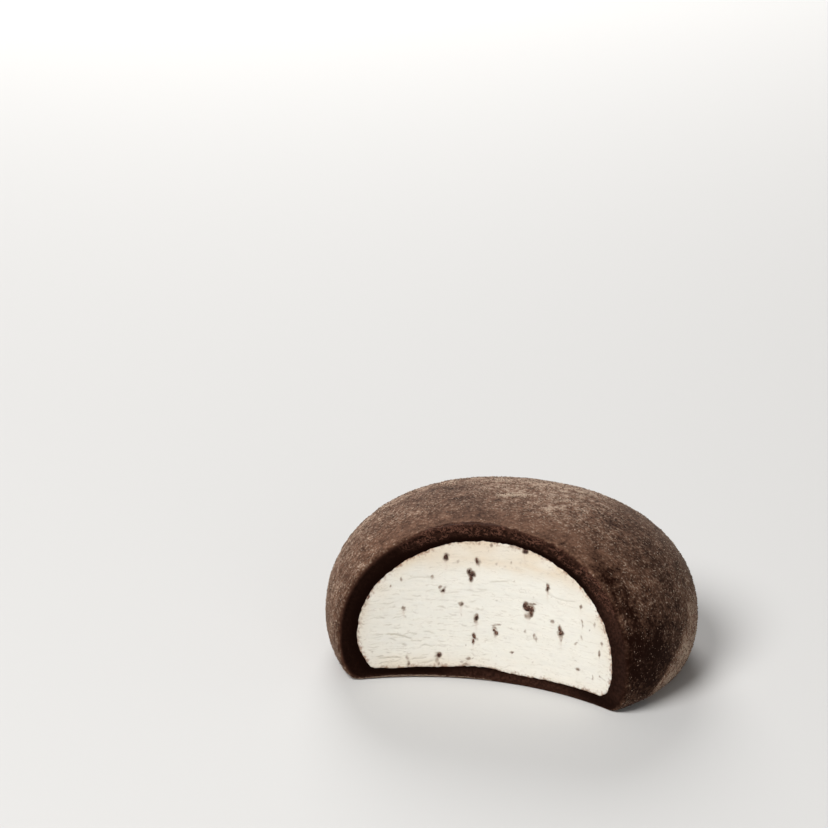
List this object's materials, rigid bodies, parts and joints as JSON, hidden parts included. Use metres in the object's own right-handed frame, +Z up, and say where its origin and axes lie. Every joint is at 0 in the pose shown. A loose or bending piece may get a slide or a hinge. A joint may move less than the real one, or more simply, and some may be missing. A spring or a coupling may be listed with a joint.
{
  "type": "mochi ice cream",
  "caption": "Mochi ice cream with a bite taken from its front: a thin dark dough dome, flat underneath, round a pale ice cream core with dark biscuit crumbs on the bitten face.",
  "frame": {"origin": "on the flat foot, under the upright axis of the whole dome", "axes": "+Z up through the crown, the bitten face looks along -Y, +X along the long way across the bite"},
  "size_m": [0.0503, 0.0395, 0.0226],
  "materials": {
    "dough": "matte, dusted with starch; darker and slightly moist where it is bitten",
    "ice_cream": "soft satin, creamy, with dark crumbs"
  },
  "bodies": {
    "root": {"mochi_dough": "dough", "ice_cream": "ice_cream"}
  },
  "joints": []
}
